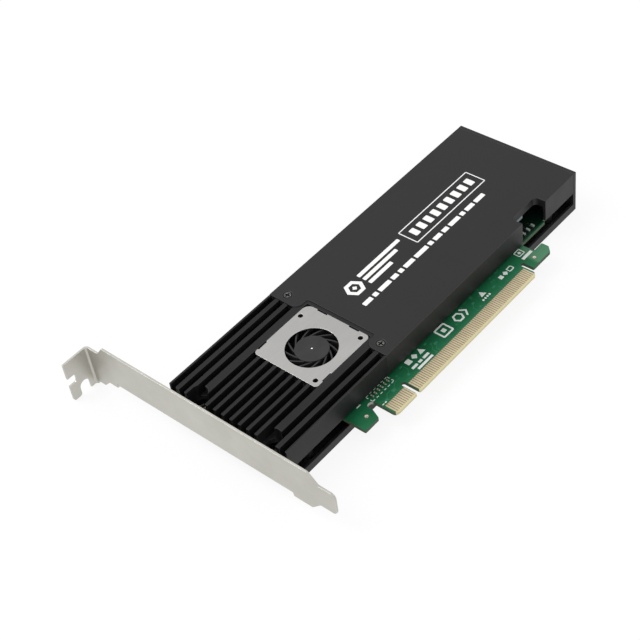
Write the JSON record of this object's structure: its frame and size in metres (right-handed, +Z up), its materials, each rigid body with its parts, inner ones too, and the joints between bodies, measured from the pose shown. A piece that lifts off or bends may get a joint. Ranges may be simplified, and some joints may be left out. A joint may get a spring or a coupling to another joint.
{
  "type": "nvme adapter card",
  "caption": "Half-length expansion card that carries solid-state drive modules in a finned black housing with a small blower and a full-height slot bracket.",
  "frame": {"origin": "middle of the contact key, on the line of the contact tips and on the board's component side", "axes": "+X along the card from the bracket to its far end, +Y from the contact tips to the card's top edge, +Z up from the board's component side"},
  "size_m": [0.1891, 0.1201, 0.0235],
  "materials": {
    "board_laminate": "satin",
    "contact_plating": "polished",
    "black_anodised": "satin",
    "black_steel": "satin",
    "plated_steel": "satin",
    "black_plastic": "matte",
    "bright_plate": "satin",
    "shaft_steel": "polished",
    "bearing_bronze": "satin",
    "magnet_ring": "matte",
    "core_steel": "satin",
    "coil_copper": "satin",
    "pale_plastic": "matte",
    "chip_package": "matte",
    "thermal_pad": "matte",
    "brass_standoff": "satin",
    "ceramic_part": "satin",
    "light_lens": "glossy",
    "ferrite_block": "matte",
    "capacitor_case": "satin"
  },
  "bodies": {
    "card": {"circuit_board": "board_laminate", "edge_contacts_component_side": "contact_plating", "edge_contacts_solder_side": "contact_plating", "finned_heatsink": "black_anodised", "drive_cover": "black_anodised", "base_cover": "black_anodised", "cover_screws": "black_steel", "base_screws": "black_steel", "slot_bracket": "plated_steel", "bracket_screws": "plated_steel", "blower_frame": "black_plastic", "blower_plate": "bright_plate", "blower_bearing": "bearing_bronze", "blower_motor_board": "board_laminate", "blower_stator": "core_steel", "blower_coils": "coil_copper", "blower_header": "pale_plastic", "switch_chip": "chip_package", "chip_thermal_pad": "thermal_pad", "upper_near_drive_socket": "black_plastic", "upper_far_drive_socket": "black_plastic", "lower_near_drive_socket": "black_plastic", "lower_far_drive_socket": "black_plastic", "upper_standoffs": "brass_standoff", "lower_standoffs": "brass_standoff", "upper_drive_screws": "plated_steel", "lower_drive_screws": "plated_steel", "upper_thermal_pads": "thermal_pad", "lower_thermal_pads": "thermal_pad", "edge_capacitors": "ceramic_part", "status_lights": "light_lens", "light_resistors": "chip_package", "power_inductors": "ferrite_block", "regulator_chips": "chip_package", "bulk_capacitors": "capacitor_case", "clock_chip": "chip_package", "memory_chip": "chip_package"},
    "rotor": {"blower_impeller": "black_plastic", "blower_shaft": "shaft_steel", "blower_magnet": "magnet_ring"}
  },
  "joints": [
    {"name": "impeller_spin", "type": "hinge", "parent": "card", "child": "rotor", "pos_m": [-0.0121, 0.038, 0.008], "axis": [0, 0, 1], "continuous": true}
  ]
}
